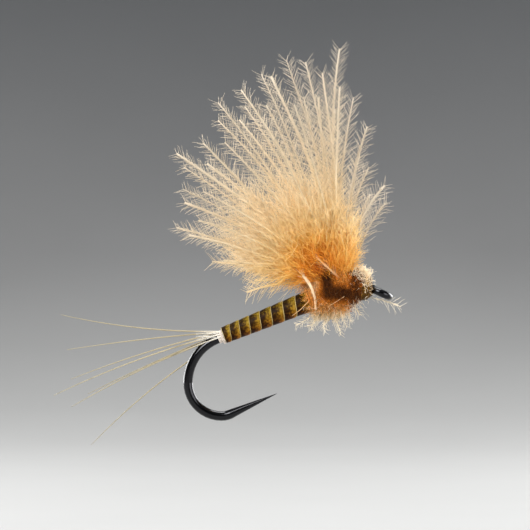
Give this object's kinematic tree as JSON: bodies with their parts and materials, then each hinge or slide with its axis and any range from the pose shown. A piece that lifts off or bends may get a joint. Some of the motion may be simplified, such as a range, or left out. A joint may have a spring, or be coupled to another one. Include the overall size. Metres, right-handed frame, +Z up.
{
  "type": "dry fly",
  "caption": "Tied dry fly on a down-eye barbless hook: wound quill body, flared tail, dubbed thorax, upright fan wing of soft down.",
  "frame": {"origin": "centre of the hook's eye, where the leader's tippet is knotted", "axes": "+X forward past the eye, +Z up through the wing, hook and shank in the XZ plane, shank raised towards the eye"},
  "size_m": [0.0196, 0.0043, 0.0225],
  "materials": {
    "hook_wire": "black nickel plated steel wire, glossy",
    "tying_thread": "pale waxed multifilament tying thread",
    "head_thread": "amber thread, varnished",
    "quill": "stripped feather quill, olive and dark brown bands, varnished",
    "tail_fibres": "stiff pale hackle fibres, satin",
    "dubbing": "rust brown fur dubbing, fuzzy",
    "wing_down": "soft down barbs, orange at the root to cream at the tip",
    "low_down": "short cream and orange down barbs",
    "feather_stem": "cream feather stem, satin"
  },
  "bodies": {
    "fly": {"beard_front": "low_down", "beard_rear": "low_down", "dubbing_loop_thread": "tying_thread", "eye_wisp": "low_down", "feather_stem_1": "feather_stem", "feather_stem_2": "feather_stem", "head_dubbing": "dubbing", "head_thread": "head_thread", "hook": "hook_wire", "quill_body": "quill", "tail_collar_thread": "tying_thread", "tail_fibre_1": "tail_fibres", "tail_fibre_2": "tail_fibres", "tail_fibre_3": "tail_fibres", "tail_fibre_4": "tail_fibres", "tail_fibre_5": "tail_fibres", "tail_fibre_6": "tail_fibres", "tail_fibre_7": "tail_fibres", "tapered_underbody": "tying_thread", "thorax_dubbing": "dubbing", "thread_base": "tying_thread", "whip_finish": "head_thread", "wing_tuft_1": "wing_down", "wing_tuft_2": "wing_down", "wing_tuft_3": "wing_down", "wing_tuft_4": "wing_down", "wing_tuft_5": "wing_down", "wing_tuft_6": "wing_down", "wing_tuft_7": "wing_down", "wing_tuft_8": "wing_down", "wing_tuft_9": "wing_down"}
  },
  "joints": []
}
